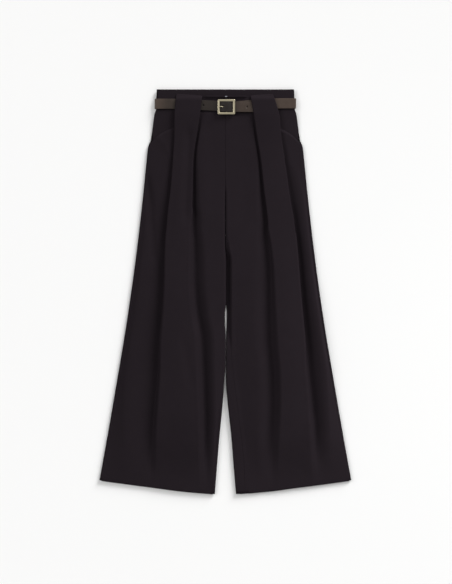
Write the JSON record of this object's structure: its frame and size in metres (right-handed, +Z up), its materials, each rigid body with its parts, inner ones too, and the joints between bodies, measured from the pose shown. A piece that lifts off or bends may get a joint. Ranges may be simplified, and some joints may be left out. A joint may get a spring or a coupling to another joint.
{
  "type": "palazzo trousers",
  "caption": "High-waisted wide-leg palazzo trousers laid flat, with box-pleated fronts, slanted pockets and a leather belt with a metal buckle",
  "frame": {"origin": "centre of the underside of the bounding box, on the surface that the trousers lie on", "axes": "+X to the wearer's left (right in the picture), +Y from the hems to the waist, +Z up out of the front"},
  "size_m": [0.679, 1.0916, 0.0189],
  "materials": {
    "cloth": "matt, smooth, nearly black plum suiting cloth",
    "leather": "smooth dark brown leather with a soft sheen",
    "metal": "pale gold metal, lightly polished"
  },
  "bodies": {
    "root": {"front_right": "cloth", "front_left": "cloth", "back_right": "cloth", "back_left": "cloth", "waistband_front_right": "cloth", "waistband_front_left": "cloth", "waistband_back": "cloth", "pocket_facing_right": "cloth", "pocket_facing_left": "cloth", "belt_loop_back_right": "cloth", "belt_loop_back_left": "cloth", "belt_strap": "leather", "buckle_frame": "metal", "buckle_prong": "metal", "waist_hook": "metal"}
  },
  "joints": []
}
